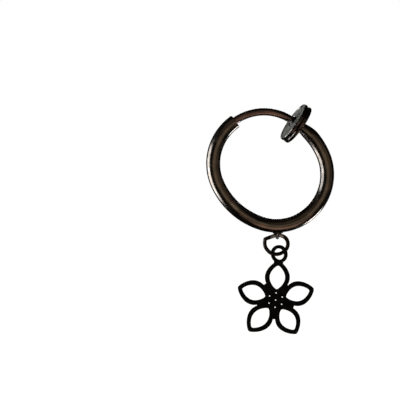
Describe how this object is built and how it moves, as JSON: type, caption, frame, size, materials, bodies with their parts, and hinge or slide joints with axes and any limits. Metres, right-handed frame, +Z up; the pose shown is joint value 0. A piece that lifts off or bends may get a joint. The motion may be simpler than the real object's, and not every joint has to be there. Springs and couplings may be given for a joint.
{
  "type": "clip-on earring",
  "caption": "Sprung hoop that pinches an ear lobe between two round pads, with a pierced flower hanging from it on a jump ring.",
  "frame": {"origin": "between the two pads, on the line of the arm's wire, where the ear lobe is pinched", "axes": "+Z up as worn, towards the top of the ear; the hoop and the flower are seen from -Y; +X from the open hoop towards the pads"},
  "size_m": [0.0139, 0.0044, 0.025],
  "materials": {
    "hoop_metal": "polished gunmetal plating",
    "arm_metal": "polished gunmetal plating",
    "ring_metal": "polished gunmetal plating",
    "charm_black": "satin black"
  },
  "bodies": {
    "hoop": {"hoop_tube": "hoop_metal"},
    "arm": {"clip_arm": "arm_metal"},
    "ring": {"jump_ring": "ring_metal"},
    "charm": {"flower_charm": "charm_black"}
  },
  "joints": [
    {"name": "arm_slide", "type": "hinge", "parent": "hoop", "child": "arm", "pos_m": [-0.00351, 0, -0.00418], "axis": [0, -1, 0], "range_deg": [0, 50], "stiffness_Nm_per_rad": 0.004},
    {"name": "ring_swing", "type": "hinge", "parent": "hoop", "child": "ring", "pos_m": [-0.00195, 0, -0.01203], "axis": [0.9613, 0.2756, 0], "range_deg": [-45, 45]},
    {"name": "charm_swing", "type": "hinge", "parent": "ring", "child": "charm", "pos_m": [-0.00171, 0.00007, -0.01407], "axis": [0.9497, 0.2723, 0.1543], "range_deg": [-45, 45]}
  ]
}
